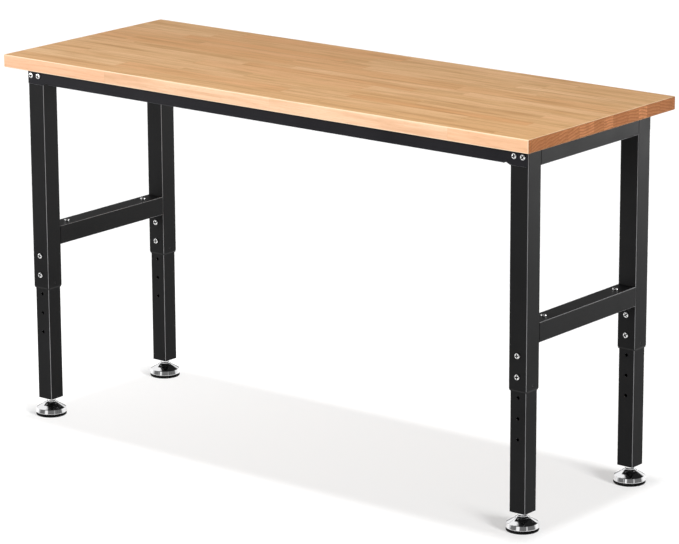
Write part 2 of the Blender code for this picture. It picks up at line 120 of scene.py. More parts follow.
# %% A helper for a finish
class Finish(Wiring):
    """A material under construction, with its Principled shader and its texture places."""

    def __init__(self, name):
        self.material = bpy.data.materials.new(name)
        self.material.use_nodes = True
        super().__init__(self.material.node_tree)
        self.shader = self.tree.nodes["Principled BSDF"]
        self.places = self.add("ShaderNodeTexCoord", {}).outputs["Object"]

    def rounding(self, full=0.965, none=0.998):
        """1 on a rounded corner and 0 on the flat faces, which all look along an axis."""
        normal = self.add("ShaderNodeNewGeometry", {}).outputs["True Normal"]
        split = self.add("ShaderNodeSeparateXYZ", {0: normal})
        across, along, up = (self.math("ABSOLUTE", part) for part in split.outputs)
        largest = self.math("MAXIMUM", self.math("MAXIMUM", across, along), up)
        return self.between(largest, 1.0, 0.0, full, none)

    def bump(self, height, strength, distance):
        inputs = {"Height": height, "Strength": strength, "Distance": distance}
        self.wire("Normal", self.add("ShaderNodeBump", inputs).outputs[0])

    def wire(self, name, value):
        self.fill(self.shader.inputs[name], (*value, 1.0) if isinstance(value, tuple) else value)


# %% [markdown]
# The top is glued from narrow boards. Real wood is solid all through: the growth rings are
# long cylinders in the trunk, so the same rings show as lines on a face and as arcs on an
# end. An image would need a seam at each edge, so the rings are worked out in space: each
# board gets its own trunk centre from a random number, and a ring is a band of distance
# from it.

# %% Wood: which board a point is in
BOARD_WIDTH = 0.046
BOARD_LENGTH = 0.52
SWAY = 0.008
SWAY_RATE = 41.0
STAGGER = 9.0
SEAM = 0.014


def boards(finish):
    """Three random numbers that stay the same all over one board, and a line along its seams."""
    split = finish.add("ShaderNodeSeparateXYZ", {0: finish.places})
    along, across = split.outputs[0], split.outputs[1]
    sway = finish.math("SINE", finish.math("MULTIPLY", across, SWAY_RATE))
    sway = finish.math("MULTIPLY", sway, SWAY)
    rows = finish.math("DIVIDE", finish.math("ADD", across, sway), BOARD_WIDTH)
    row = finish.math("FLOOR", rows)
    start = finish.add("ShaderNodeTexWhiteNoise", {"W": row}, noise_dimensions="1D").outputs["Value"]
    lengths = finish.math("DIVIDE", along, BOARD_LENGTH)
    shifted = finish.math("ADD", lengths, finish.math("MULTIPLY", start, STAGGER))
    cell = finish.add("ShaderNodeCombineXYZ", {0: row, 1: finish.math("FLOOR", shifted)}).outputs[0]
    noise = finish.add("ShaderNodeTexWhiteNoise", {"Vector": cell}, noise_dimensions="2D")
    from_seam = finish.math("PINGPONG", rows, 0.5)
    from_joint = finish.math("PINGPONG", shifted, 0.5)
    from_joint = finish.math("MULTIPLY", from_joint, BOARD_LENGTH / BOARD_WIDTH)
    nearest = finish.math("MINIMUM", from_seam, from_joint)
    return noise.outputs["Color"], finish.between(nearest, 1.0, 0.0, 0.0, SEAM)


# %% Wood: growth rings
TRUNK_SPREAD = (3.0, 0.16, 0.10)
RING_WAVES = (1.4, 14.0, 14.0)
WAVE_HEIGHT = 0.022
RING_STEEPNESS = 1.6


def ring_bands(finish, numbers, width):
    """Growth rings of one board, from 0 in the pale wood of spring to 1 in the dark of summer."""
    centred = finish.vector("SUBTRACT", numbers, (0.5, 0.5, 0.5))
    shift = finish.vector("MULTIPLY", centred, TRUNK_SPREAD)
    moved = finish.vector("ADD", finish.places, shift)
    split = finish.add("ShaderNodeSeparateXYZ", {0: moved})
    across = finish.math("POWER", finish.math("ABSOLUTE", split.outputs[1]), 2.0)
    depth = finish.math("POWER", finish.math("ABSOLUTE", split.outputs[2]), 2.0)
    radius = finish.math("SQRT", finish.math("ADD", across, depth))
    waves = finish.noise(finish.stretched(moved, RING_WAVES), 1.0, 2.0)
    radius = finish.math("ADD", radius, finish.math("MULTIPLY", waves, WAVE_HEIGHT))
    phase = finish.math("FRACT", finish.math("DIVIDE", radius, width))
    return finish.math("POWER", phase, RING_STEEPNESS), moved


# %% Wood: the face, the long edges and the end grain
STREAKS = (3.2, 40.0, 40.0)
FIBRES = (5.0, 150.0, 150.0)
FLECKS = (60.0, 900.0, 900.0)
FIBRE_SHARE = 0.8
FLECK_STRENGTH = 0.40
SEAM_STRENGTH = 0.55


def wood(name, pale, deep, edge, tone_spread, ring_width, ring_strength, streak_strength, specular):
    """Oiled beech: board tones, rings, long streaks, fibres, flecks, seams and rounded corners, which are
    painted lighter as a highlight on the face and long edges and darker on the end grain.
    """
    finish = Finish(name)
    numbers, seams = boards(finish)
    rings, moved = ring_bands(finish, numbers, ring_width)
    tones = finish.add("ShaderNodeSeparateColor", {0: numbers})
    dark = tuple(0.80 * part for part in deep)
    rosy = (deep[0] * 1.16, deep[1] * 0.98, deep[2] * 1.05)
    colour = finish.blend(finish.between(tones.outputs[0], 0.0, tone_spread), pale, deep)
    colour = finish.blend(finish.between(tones.outputs[2], 0.0, 0.45, 0.45, 1.0), colour, rosy)
    colour = finish.blend(finish.math("MULTIPLY", rings, ring_strength), colour, deep)
    broad = finish.noise(finish.stretched(moved, STREAKS), 1.0, 3.0, 0.6)
    colour = finish.blend(finish.between(broad, 0.0, streak_strength, 0.48, 0.72), colour, dark)
    fibres = finish.noise(finish.stretched(moved, FIBRES), 1.0, 5.0, 0.66)
    fibre_strength = FIBRE_SHARE * streak_strength
    colour = finish.blend(finish.between(fibres, 0.0, fibre_strength, 0.47, 0.72), colour, dark)
    flecks = finish.noise(finish.stretched(moved, FLECKS), 1.0, 1.0)
    colour = finish.blend(finish.between(flecks, 0.0, FLECK_STRENGTH, 0.60, 0.72), colour, dark)
    colour = finish.blend(finish.math("MULTIPLY", seams, SEAM_STRENGTH), colour, dark)
    # Painted highlight: the rounded corners take the edge colour, lighter than the face and the long
    # edges, and darker on the end grain.
    colour = finish.blend(finish.rounding(), colour, edge)
    finish.wire("Base Color", colour)
    finish.wire("Roughness", finish.between(fibres, 0.44, 0.60))
    finish.wire("Specular IOR Level", specular)
    finish.bump(fibres, 0.12, 0.0002)
    return finish.material


WOOD_FACE = wood(
    "beech_face", pale=(0.790, 0.505, 0.270), deep=(0.590, 0.292, 0.094), edge=(0.92, 0.70, 0.46),
    tone_spread=0.42, ring_width=0.0042, ring_strength=0.20, streak_strength=0.80, specular=0.25)
# The long edges are paler than the face: partly their own grain, and partly a painted highlight for the
# bright light on the front edge, which the back edge shares.
WOOD_EDGE = wood(
    "beech_edge", pale=(0.875, 0.630, 0.440), deep=(0.775, 0.420, 0.230), edge=(0.92, 0.69, 0.49),
    tone_spread=0.80, ring_width=0.0042, ring_strength=0.22, streak_strength=0.75, specular=0.25)
WOOD_END = wood(
    "beech_end_grain", pale=(0.740, 0.325, 0.145), deep=(0.320, 0.116, 0.042), edge=(0.36, 0.16, 0.07),
    tone_spread=0.65, ring_width=0.0070, ring_strength=0.85, streak_strength=0.35, specular=0.05)
print("wood:", WOOD_FACE.name, WOOD_EDGE.name, WOOD_END.name)

# %% [markdown]
# Powder coat is a dry paint that is melted on. It has no flakes: it is a nearly black film with a satin
# shine and a fine orange peel, a bump of a fraction of a millimetre. Its rounded corners carry a painted
# highlight, a line of lighter grey where they catch the light.

# %% Powder coat, plastic and rubber
COAT_SPECULAR = 0.06
MOULDED_SPECULAR = 0.20
DUST_PALER = 2.6


def powder_coat(name, dark, pale, corner_highlight):
    """Satin paint in two close tones, with a fine peel, and with a painted highlight of lighter grey on
    its rounded corners.
    """
    finish = Finish(name)
    cloud = finish.noise(finish.places, 9.0, 4.0)
    peel = finish.noise(finish.places, 1100.0, 2.0)
    dust = finish.noise(finish.places, 420.0, 2.0)
    colour = finish.blend(finish.between(cloud, 0.0, 1.0, 0.3, 0.7), dark, pale)
    speck = tuple(DUST_PALER * part for part in pale)
    colour = finish.blend(finish.between(dust, 0.0, 0.5, 0.62, 0.80), colour, speck)
    # Painted highlight: faces that look along no axis, the rounded corners, take the lighter corner
    # colour.
    corner_highlight_mask = finish.math("MULTIPLY", finish.rounding(0.80, 0.94), finish.between(cloud, 0.6, 1.0, 0.3, 0.7))
    finish.wire("Base Color", finish.blend(corner_highlight_mask, colour, corner_highlight))
    finish.wire("Roughness", finish.between(cloud, 0.36, 0.48, 0.3, 0.7))
    finish.wire("Specular IOR Level", COAT_SPECULAR)
    finish.bump(peel, 0.10, 0.0002)
    return finish.material


def moulded(name, colour, rough_low, rough_high, grain, strength):
    """Plastic or rubber as it leaves the mould, with a fine sparkle of texture."""
    finish = Finish(name)
    cloud = finish.noise(finish.places, 60.0, 3.0)
    texture = finish.noise(finish.places, grain, 3.0)
    paler = tuple(1.5 * part for part in colour)
    finish.wire("Base Color", finish.blend(finish.between(cloud, 0.0, 1.0, 0.35, 0.7), colour, paler))
    finish.wire("Roughness", finish.between(texture, rough_low, rough_high))
    finish.wire("Specular IOR Level", MOULDED_SPECULAR)
    finish.bump(texture, strength, 0.0003)
    return finish.material


# The last colour of each coat is the painted highlight on its rounded corners.
COAT = powder_coat("tube_powder_coat", dark=(0.0068, 0.0068, 0.0070),
                   pale=(0.0094, 0.0094, 0.0097), corner_highlight=(0.36, 0.36, 0.37))
SHEET_COAT = powder_coat("sheet_powder_coat", dark=(0.0088, 0.0086, 0.0106),
                         pale=(0.0124, 0.0122, 0.0146), corner_highlight=(0.04, 0.04, 0.044))
PLASTIC = moulded("moulded_black_plastic", (0.008, 0.008, 0.008), 0.42, 0.58, 1400.0, 0.15)
RUBBER = moulded("moulded_black_rubber", (0.003, 0.003, 0.003), 0.60, 0.85, 900.0, 0.30)
print("paint, plastic, rubber:", COAT.name, SHEET_COAT.name, PLASTIC.name, RUBBER.name)

# %% [markdown]
# Two bright metals hold and carry the bench. Zinc plate on the screws is soft and milky,
# with faint crystals. Chrome on the feet is a mirror, with only fine polish marks in its
# roughness, so its look comes almost wholly from what is round it.

# %% Zinc plate and chrome
def zinc_plate():
    finish = Finish("bright_zinc_plate")
    cells = finish.add("ShaderNodeTexVoronoi", {"Vector": finish.places, "Scale": 900.0})
    crystals = cells.outputs["Distance"]
    cloud = finish.noise(finish.places, 220.0, 3.0)
    finish.wire("Base Color", finish.blend(cloud, (0.92, 0.92, 0.93), (0.74, 0.74, 0.73)))
    finish.wire("Metallic", 1.0)
    finish.wire("Roughness", finish.between(crystals, 0.16, 0.30, 0.0, 0.8))
    finish.bump(crystals, 0.06, 0.0001)
    return finish.material


def chrome():
    finish = Finish("polished_chrome")
    marks = finish.noise(finish.stretched(finish.places, (90.0, 90.0, 1800.0)), 1.0, 3.0)
    finish.wire("Base Color", finish.blend(marks, (0.90, 0.90, 0.91), (0.82, 0.82, 0.83)))
    finish.wire("Metallic", 1.0)
    finish.wire("Roughness", finish.between(marks, 0.05, 0.13, 0.35, 0.75))
    finish.bump(marks, 0.02, 0.0001)
    return finish.material


ZINC = zinc_plate()
CHROME = chrome()
print("metals:", ZINC.name, CHROME.name)

# %% [markdown]
# The tubes, the folded rails and the plastic bushes already have their real shape in the
# frame: walls, bends, notches and holes. They stay, and only their material slots change.

# %% Finish the solids that stay
FINISHES = {
    ("front_rail", "back_rail"): SHEET_COAT,
    ("_outer_leg", "_inner_leg", "_top_rail", "_lower_rail"): COAT,
    ("_guide_bush", "_end_plug"): PLASTIC,
}


def finish_solids():
    """Gives each kept solid its finish, by the end of its name."""
    count = 0
    for endings, material in FINISHES.items():
        for name, node in nodes.items():
            if name.endswith(endings):
                node.data.materials.clear()
                node.data.materials.append(material)
                count += 1
    return count


print("kept solids:", finish_solids())

# %% [markdown]
# Everything modelled from here on is a mesh in the frame's own metres. One helper turns a bmesh into a
# piece, gives it its finish, says which body carries it and which solid it stands for.


# %% A helper for adding a piece
def add_piece(name, shape, materials, body, instead_of=None, at=Matrix.Identity(4)):
    """Makes a smooth piece from a bmesh, puts it in place and ties it to the frame."""
    bmesh.ops.remove_doubles(shape, verts=shape.verts, dist=0.000001)
    bmesh.ops.recalc_face_normals(shape, faces=shape.faces)
    mesh = bpy.data.meshes.new(name)
    shape.to_mesh(mesh)
    shape.free()
    for material in materials:
        mesh.materials.append(material)
    mesh.transform(at)
    mesh.shade_smooth()
    mesh.set_sharp_from_angle(angle=math.radians(32))
    piece = bpy.data.objects.new(name, mesh)
    bpy.context.scene.collection.objects.link(piece)
    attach(piece, body)
    if instead_of:
        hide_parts(instead_of)
    return piece


# %% [markdown]
# The top is one slab, sanded and with its edges eased. A cube with a Bevel would do, and
# so does the bmesh operator, which leaves a plain mesh. The broad faces, the long edges and
# the end grain each take a material of their own. Mirrors don't see the top, as the
# photograph's chrome shows no brown: in a studio, a black card would hide it.

# %% The worktop
EDGE_RADIUS = 0.0022


def make_worktop():
    low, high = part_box("worktop")
    shape = bmesh.new()
    bmesh.ops.create_cube(shape, size=1.0)
    bmesh.ops.scale(shape, verts=shape.verts, vec=high - low)
    bmesh.ops.translate(shape, verts=shape.verts, vec=(high + low) / 2)
    bmesh.ops.bevel(shape, geom=shape.edges[:], offset=EDGE_RADIUS, segments=4, profile=0.5,
                    affect="EDGES")
    finishes = [WOOD_FACE, WOOD_EDGE, WOOD_END]
    for face in shape.faces:
        share = [abs(part) for part in face.normal]
        face.material_index = 2 - share.index(max(share))
    top = add_piece("worktop_boards", shape, finishes, "frame", "worktop")
    top.visible_glossy = False
    return top


WORKTOP = make_worktop()
print("worktop:", WORKTOP.dimensions)

# %% [markdown]
# Turned pieces come from a profile spun about an axis. A profile that starts on the axis
# closes by itself; one that doesn't is a ring, and its last point is joined to its first.


# %% Helpers for turned pieces
def spun(profile, facets):
    """A bmesh of revolution about Z, from (radius, height) pairs."""
    shape = bmesh.new()
    verts = [shape.verts.new((radius, 0, height)) for radius, height in profile]
    edges = [shape.edges.new(pair) for pair in zip(verts, verts[1:])]
    if profile[0][0] > 0:
        edges.append(shape.edges.new((verts[-1], verts[0])))
    bmesh.ops.spin(shape, geom=verts + edges, cent=(0, 0, 0), axis=(0, 0, 1), angle=2 * math.pi,
                   steps=facets, use_merge=True)
    return shape


def arc(centre, radius, start, end, steps):
    """Points of an arc in a profile, with its angles in degrees."""
    angles = [math.radians(start + (end - start) * i / steps) for i in range(steps + 1)]
    return [(centre[0] + radius * math.cos(a), centre[1] + radius * math.sin(a)) for a in angles]


def drawn_out(outline, offset):
    """A bmesh solid from a flat outline and the way it is drawn."""
    shape = bmesh.new()
    face = shape.faces.new([shape.verts.new(point) for point in outline])
    made = bmesh.ops.extrude_face_region(shape, geom=[face])["geom"]
    bmesh.ops.translate(shape, verts=[v for v in made if isinstance(v, bmesh.types.BMVert)], vec=offset)
    bmesh.ops.recalc_face_normals(shape, faces=shape.faces)
    return shape


def carved(shape, tool, operation="DIFFERENCE"):
    """A bmesh with another one cut from it or joined to it, by the exact Boolean."""
    holders = []
    for source in (shape, tool):
        bmesh.ops.remove_doubles(source, verts=source.verts, dist=0.000001)
        bmesh.ops.recalc_face_normals(source, faces=source.faces)
        mesh = bpy.data.meshes.new("blank")
        source.to_mesh(mesh)
        source.free()
        holder = bpy.data.objects.new("blank", mesh)
        bpy.context.scene.collection.objects.link(holder)
        holders.append(holder)
    step = holders[0].modifiers.new("step", "BOOLEAN")
    step.operation = operation
    step.solver = "EXACT"
    step.object = holders[1]
    bpy.context.view_layer.update()
    result = bmesh.new()
    result.from_object(holders[0], bpy.context.evaluated_depsgraph_get())
    for holder in holders:
        bpy.data.objects.remove(holder, do_unlink=True)
    return result


# %% [markdown]
# Every screw on the bench is a pan head with a cross recess. The recess is cut by a cross
# whose arms taper towards the bottom, as the real driver's tip does. Each one takes its
# size from the solid that it replaces: the head's width is the box across the shank.

# %% Screws and bolts
CROSS_ARM = 0.50
CROSS_REACH = 0.90
CROSS_TAPER = 0.70
CROSS_DEPTH = 0.0021
DOME_FALL = 0.30
DOME_SHARES = (0.80, 0.5, 0.25)
SIDE_ROUND = 0.42
SHANK_CHAMFER = 0.0006
# Painted shade: the faces inside the cross recess take a near-black colour for the shade that falls in it.
PAINTED_RECESS_SHADE = moulded("painted_recess_shade", (0.006, 0.006, 0.006), 0.60, 0.85, 1500.0, 0.20)
# The height of the head and the radius of the shank, for each kind of screw.
SCREW_SIZES = {
    "_lock_bolt_": (0.0042, 0.0040),
    "_side_bolt": (0.0042, 0.0040),
    "_rail_screw_": (0.0036, 0.0030),
    "_wood_screw": (0.0028, 0.0022),
}


def cross_cutter(top, radius):
    """A cross that narrows downwards, to cut a recess. Its arms are shares of the head's radius."""
    arm, reach, above = CROSS_ARM * radius / 2, CROSS_REACH * radius, 0.0005
    outline = [(arm, arm), (arm, reach), (-arm, reach), (-arm, arm), (-reach, arm), (-reach, -arm),
               (-arm, -arm), (-arm, -reach), (arm, -reach), (arm, -arm), (reach, -arm), (reach, arm)]
    shape = drawn_out([(x, y, top + above) for x, y in outline], (0, 0, -above - CROSS_DEPTH))
    for vert in shape.verts:
        if vert.co.z < top:
            vert.co.x *= CROSS_TAPER
            vert.co.y *= CROSS_TAPER
    return shape


def pan_head(radius, height, shank, length):
    """A pan head with rounded sides and a low dome, standing on z = 0 with its shank below."""
    edge = height * SIDE_ROUND
    fall = DOME_FALL * height
    dome = [(radius * share, height - fall * share * share) for share in DOME_SHARES]
    side = arc((radius - edge, edge * 1.05), edge, 0, 62, 5)
    tip = [(0, -length), (shank - SHANK_CHAMFER, -length), (shank, SHANK_CHAMFER - length)]
    profile = tip + [(shank, 0), (radius, 0)]
    shape = carved(spun(profile + side + dome + [(0, height)], 40), cross_cutter(height, radius))
    # Faces inside the recess take the second material, the painted shade.
    for face in shape.faces:
        centre = face.calc_center_median()
        share = math.hypot(centre.x, centre.y) / radius
        below = height - fall * share * share - centre.z
        face.material_index = int(share < CROSS_REACH + 0.02 and 0.0002 < below < CROSS_DEPTH + 0.0002)
    return shape


def screw_sizes(name):
    return next(sizes for part, sizes in SCREW_SIZES.items() if part in name)


def make_screw(name, outward):
    """A detailed screw in the place of a solid one. outward is the way its head looks."""
    low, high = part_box(name)
    size = high - low
    axis = max(range(3), key=lambda i: abs(outward[i]))
    width = max(size[i] for i in range(3) if i != axis)
    head, shank = screw_sizes(name)
    seat = (low + high) / 2
    seat[axis] = (high if outward[axis] > 0 else low)[axis] - outward[axis] * head
    turn = Vector(outward).to_track_quat("Z", "Y").to_matrix().to_4x4()
    spin = Matrix.Rotation(sum(map(ord, name)) % 90 * math.pi / 180, 4, "Z")
    shape = pan_head(width / 2, head, shank, size[axis] - head)
    at = Matrix.Translation(seat) @ turn @ spin
    add_piece(name + "_detailed", shape, [ZINC, PAINTED_RECESS_SHADE], "frame", name, at)


def make_screws():
    for corner in CORNERS:
        face = -1 if corner.startswith("front") else 1
        for end in ("upper", "lower"):
            make_screw(f"{corner}_lock_bolt_{end}", (0, -1, 0))
        for end in ("outer", "inner"):
            make_screw(f"{corner}_rail_screw_{end}", (0, face, 0))
        make_screw(corner + "_side_bolt", (0, 0, 1))
        make_screw(corner + "_wood_screw", (0, 0, -1))
    return 6 * len(CORNERS)


print("screws:", make_screws())

# %% [markdown]
# A levelling foot is three pieces: a rubber pad that grips the floor, a plated cup pressed
# over it, and a threaded stud with a hexagon for a spanner. The cup is a mirror, so its
# profile is drawn with arcs and many facets: any flat would show as a kink in what it
# reflects.

# %% The feet: cup and pad
NECK_RADIUS = 0.0116
NECK_DROP = 0.0026
BORE_RADIUS = 0.0063
LIP_RADIUS = 0.0016
HEM_RADIUS = 0.0009
SHOULDER_HEIGHT = 0.0100
SKIRT_DRAFT = 0.0025
CUP_WALL = 0.0022
CUP_ROOF = 0.0030
TREAD_RADIUS = 0.0024
GROOVE_DEPTH = 0.0008
LEDGE_HEIGHT = 0.0082
LEDGE_WIDTH = 0.0014
FEET = []


def foot_axis(corner):
    low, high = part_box(corner + "_foot_cup")
    return Vector(((low.x + high.x) / 2, (low.y + high.y) / 2, 0))


def straight(start, end):
    """Two points near the ends of a line, which keep a smooth surface from bending between them."""
    return [tuple(a + (b - a) * share for a, b in zip(start, end)) for share in (0.06, 0.94)]


def cup_profile(low, high, radius):
    """The cup from its rolled lip down the cone, round the shoulder, down the skirt and back inside."""
    shoulder = low + SHOULDER_HEIGHT
    brim = radius - SKIRT_DRAFT
    top = high - NECK_DROP
    roof = top - CUP_ROOF
    lip = arc((NECK_RADIUS - LIP_RADIUS / 2, high - LIP_RADIUS), LIP_RADIUS, 90, -50, 8)
    rim = arc((brim - LIP_RADIUS, shoulder), LIP_RADIUS, 60, 8, 4)
    hem = arc((radius - HEM_RADIUS, low + HEM_RADIUS), HEM_RADIUS, 8, -90, 6)
    cone = straight((NECK_RADIUS, top), rim[0])
    skirt = straight(rim[-1], hem[0])
    inside = [(radius - CUP_WALL, low), (brim - CUP_WALL, shoulder - 0.001),
              (NECK_RADIUS + 0.006, roof), (BORE_RADIUS, roof), (BORE_RADIUS, high)]
    return lip + [(NECK_RADIUS, top)] + cone + rim + skirt + hem + inside


def pad_profile(high, radius):
    """The pad's tread, a rounded foot, a groove round its side and the part inside the cup."""
    tread = [(0, 0)] + arc((radius - TREAD_RADIUS, TREAD_RADIUS), TREAD_RADIUS, -90, 0, 6)
    sunk = radius - GROOVE_DEPTH
    groove = [(radius, 0.0042), (sunk, 0.0047), (sunk, 0.0053), (radius, 0.0058)]
    inner = radius - LEDGE_WIDTH
    ledge = [(radius, LEDGE_HEIGHT), (inner, LEDGE_HEIGHT), (inner, high - 0.014)]
    return tread + groove + ledge + [(0.014, high), (0, high)]


def make_cup_and_pad(corner):
    axis = Matrix.Translation(foot_axis(corner))
    low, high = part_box(corner + "_foot_cup")
    cup = spun(cup_profile(low.z, high.z, (high.x - low.x) / 2), 96)
    FEET.append(add_piece(corner + "_foot_cup_plated", cup, [CHROME], corner + "_foot",
                          corner + "_foot_cup", axis))
    low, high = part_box(corner + "_foot_pad")
    pad = spun(pad_profile(high.z, (high.x - low.x) / 2), 96)
    FEET.append(add_piece(corner + "_foot_pad_moulded", pad, [RUBBER], corner + "_foot",
                          corner + "_foot_pad", axis))


for corner in CORNERS:
    make_cup_and_pad(corner)
print("cups and pads:", len(CORNERS))

# %% [markdown]
# The stud's thread hardly shows while the foot is screwed in, but it comes out of the leg
# when the foot is lowered, so it is a real helix. The surface is a grid wrapped round the
# axis, whose radius falls and rises once per pitch, shifted by the angle.

# %% The feet: threaded stud with its hexagon
PITCH = 0.00175
THREAD_DEPTH = 0.0010
END_DEPTH = 0.0006
TURN_STEPS = 24
RISE_STEPS = 4
STUD_RADIUS = 0.0060
HEAD_RADIUS = 0.0088
HEAD_HEIGHT = 0.0037
HEXAGON_FALL = 0.0009
HEXAGON_GAP = 0.0003


def threaded(radius, low, high):
    """A closed rod whose side is a V thread."""
    shape = bmesh.new()
    levels = int((high - low) / PITCH * RISE_STEPS)
    rows = []
    for level in range(levels + 1):
        height = low + (high - low) * level / levels
        fade = min(1.0, (levels - level) / RISE_STEPS, level / RISE_STEPS)
        row = []
        for step in range(TURN_STEPS):
            phase = (height / PITCH - step / TURN_STEPS) % 1.0
            depth = THREAD_DEPTH * abs(2 * phase - 1) * fade + END_DEPTH * (1 - fade)
            angle = 2 * math.pi * step / TURN_STEPS
            out = radius - depth
            row.append(shape.verts.new((out * math.cos(angle), out * math.sin(angle), height)))
        rows.append(row)
    for lower, upper in zip(rows, rows[1:]):
        for step in range(TURN_STEPS):
            after = (step + 1) % TURN_STEPS
            shape.faces.new((lower[step], lower[after], upper[after], upper[step]))
    shape.faces.new(rows[0][::-1])
    shape.faces.new(rows[-1])
    return shape


def hexagon(flats, low, high):
    """A hexagon whose corners are turned off at both ends, as on a real nut."""
    corner = flats / 2 / math.cos(math.pi / 6)
    turns = [math.pi / 3 * i for i in range(6)]
    outline = [(corner * math.cos(turn), corner * math.sin(turn), low) for turn in turns]
    prism = drawn_out(outline, (0, 0, high - low))
    end, side = flats / 2 * 0.98, corner + 0.0001
    round_off = spun([(0, low), (end, low), (side, low + HEXAGON_FALL), (side, high - HEXAGON_FALL),
                      (end, high), (0, high)], 48)
    return carved(prism, round_off, "INTERSECT")


def make_stud(corner):
    low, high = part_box(corner + "_foot_stud")
    cup_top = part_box(corner + "_foot_cup")[1].z
    leg_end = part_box(corner + "_inner_leg")[0].z
    rod = threaded(STUD_RADIUS, cup_top + 0.002, high.z)
    head_top, neck_top = low.z + HEAD_HEIGHT, cup_top + 0.003
    head = spun([(0, low.z), (HEAD_RADIUS, low.z), (HEAD_RADIUS, head_top), (STUD_RADIUS, head_top),
                 (STUD_RADIUS, neck_top), (0, neck_top)], 32)
    nut = hexagon(high.y - low.y, cup_top + HEXAGON_GAP, leg_end - HEXAGON_GAP)
    shape = carved(carved(rod, head, "UNION"), nut, "UNION")
    for face in shape.faces:
        centre = face.calc_center_median()
        face.material_index = int(cup_top < centre.z < leg_end and math.hypot(centre.x, centre.y) > 0.0065)
    add_piece(corner + "_foot_stud_threaded", shape, [ZINC, CHROME], corner + "_stud",
              corner + "_foot_stud", Matrix.Translation(foot_axis(corner)))


for corner in CORNERS:
    make_stud(corner)
print("studs:", len(CORNERS))

# %% [markdown]
# The side rails under the top are welded to the legs. A weld is a row of overlapping ripples in the
# corner, painted over with the rest. A bead here is a straight row of short rings whose radius swells once
# per ripple.

# %% Weld beads
BEAD_RADIUS = 0.0022
RIPPLE = 0.0030
RIPPLE_STEPS = 4
WELD_INSET = 0.004


def laid(start, end):
    """Where an upright piece goes to lie from one point towards another."""
    return Matrix.Translation(start) @ (end - start).to_track_quat("Z", "Y").to_matrix().to_4x4()


def bead(start, end):
    """A closed, rippled rod between two points."""
    start, end = Vector(start), Vector(end)
    length = (end - start).length
    count = max(2, int(length / RIPPLE * RIPPLE_STEPS))
    profile = [(0, 0)]
    for i in range(count + 1):
        swell = 0.80 + 0.20 * abs(math.sin(math.pi * i / RIPPLE_STEPS))
        taper = min(1.0, 0.35 + i / 3, 0.35 + (count - i) / 3)
        profile.append((BEAD_RADIUS * swell * taper, length * i / count))
    return spun(profile + [(0, length)], 10), laid(start, end)


def make_welds():
    """A bead under each end of the top rails."""
    count = 0
    for side in ("left", "right"):
        low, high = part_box(side + "_top_rail")
        for face, y in (("front", low.y), ("back", high.y)):
            shape, at = bead((low.x + WELD_INSET, y, low.z), (high.x - WELD_INSET, y, low.z))
            add_piece(f"{face}_{side}_top_weld", shape, [COAT], "frame", None, at)
            count += 1
    return count


print("welds:", make_welds())

# %% [markdown]
# The sheet rails end in flat tabs over the legs. A tab's lower edge is where the sheet was cut, and it
# catches the light as a fine line across each leg. That line is a painted highlight: a thin light-grey rod
# with softened ends lies in the edge.

# %% Painted highlights on the tabs' cut edges
CUT_RADIUS = 0.0009
# The rod's light grey is a painted highlight on the tab's edge.
PAINTED_EDGE_HIGHLIGHT = powder_coat(
    "painted_edge_highlight", dark=(0.13, 0.13, 0.134), pale=(0.19, 0.19, 0.195), corner_highlight=(0.24, 0.24, 0.245))


def softened_rod(radius, length):
    """A rod about Z whose ends are tapered off."""
    soft = radius / 2
    return spun([(0, 0), (soft, 0), (radius, radius), (radius, length - radius),
                 (soft, length), (0, length)], 12)


def make_tab_edge_highlights():
    """A painted highlight: a light line along the lower edge of each tab."""
    count = 0
    for end_of_bench, inward in (("front", 1), ("back", -1)):
        low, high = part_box(end_of_bench + "_rail")
        y = (low.y if inward > 0 else high.y) + inward * CUT_RADIUS
        for side in ("left", "right"):
            leg_low, leg_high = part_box(f"{end_of_bench}_{side}_outer_leg")
            start = Vector((max(low.x, leg_low.x), y, low.z + CUT_RADIUS / 2))
            end = Vector((min(high.x, leg_high.x), y, low.z + CUT_RADIUS / 2))
            rod = softened_rod(CUT_RADIUS, (end - start).length)
            add_piece(f"{end_of_bench}_{side}_tab_edge_highlight", rod, [PAINTED_EDGE_HIGHLIGHT], "frame",
                      None, laid(start, end))
            count += 1
    return count


print("cut edges:", make_tab_edge_highlights())

# %% [markdown]
# The bench stands on a plain white floor that keeps its shadow. Most of what the floor
# shows is its own glow, and only the rest is light that falls on it: a shadow then takes
# away a little of the white and stays pale. Nothing is lit by the glow, but the chrome
# reflects it.

# %% Floor
FLOOR_COLOUR = 0.50
FLOOR_GLOW = 0.46


def make_floor():
    shape = bmesh.new()
    bmesh.ops.create_grid(shape, x_segments=1, y_segments=1, size=60.0)
    mesh = bpy.data.meshes.new("floor")
    shape.to_mesh(mesh)
    shape.free()
    floor = bpy.data.objects.new("floor", mesh)
    floor.location.z = -0.0002
    bpy.context.scene.collection.objects.link(floor)
    finish = Finish("white_floor")
    finish.wire("Base Color", (FLOOR_COLOUR, FLOOR_COLOUR, FLOOR_COLOUR))
    finish.wire("Roughness", 1.0)
    finish.wire("Specular IOR Level", 0.0)
    finish.wire("Emission Color", (1.0, 1.0, 1.0))
    finish.wire("Emission Strength", finish.math("MULTIPLY", finish.shown(), FLOOR_GLOW))
    mesh.materials.append(finish.material)
    return floor


FLOOR = make_floor()
print("floor glow:", FLOOR_GLOW)

# %% [markdown]
# Chrome shows the room. A plain white world would make the feet plain white, but in a
# studio a mirror also sees a dark ceiling, so a cone looks black where it faces up. The
# world is therefore drawn for mirrors: white behind the bench, as the backdrop is, grey
# walls, dark overhead, and with a few soft boxes. Each box is a patch of directions round
# its middle. A grey card straight behind draws a fine line down the sides of what is round,
# which would else be lost on the white. The camera sees plain white, and for all other
# light the world is a soft grey sky.

# %% World
SKY = 0.30
WALLS = 0.17
CEILING = 0.015
CARD = 0.25
BEHIND = (-0.624, 0.782, 0.0)
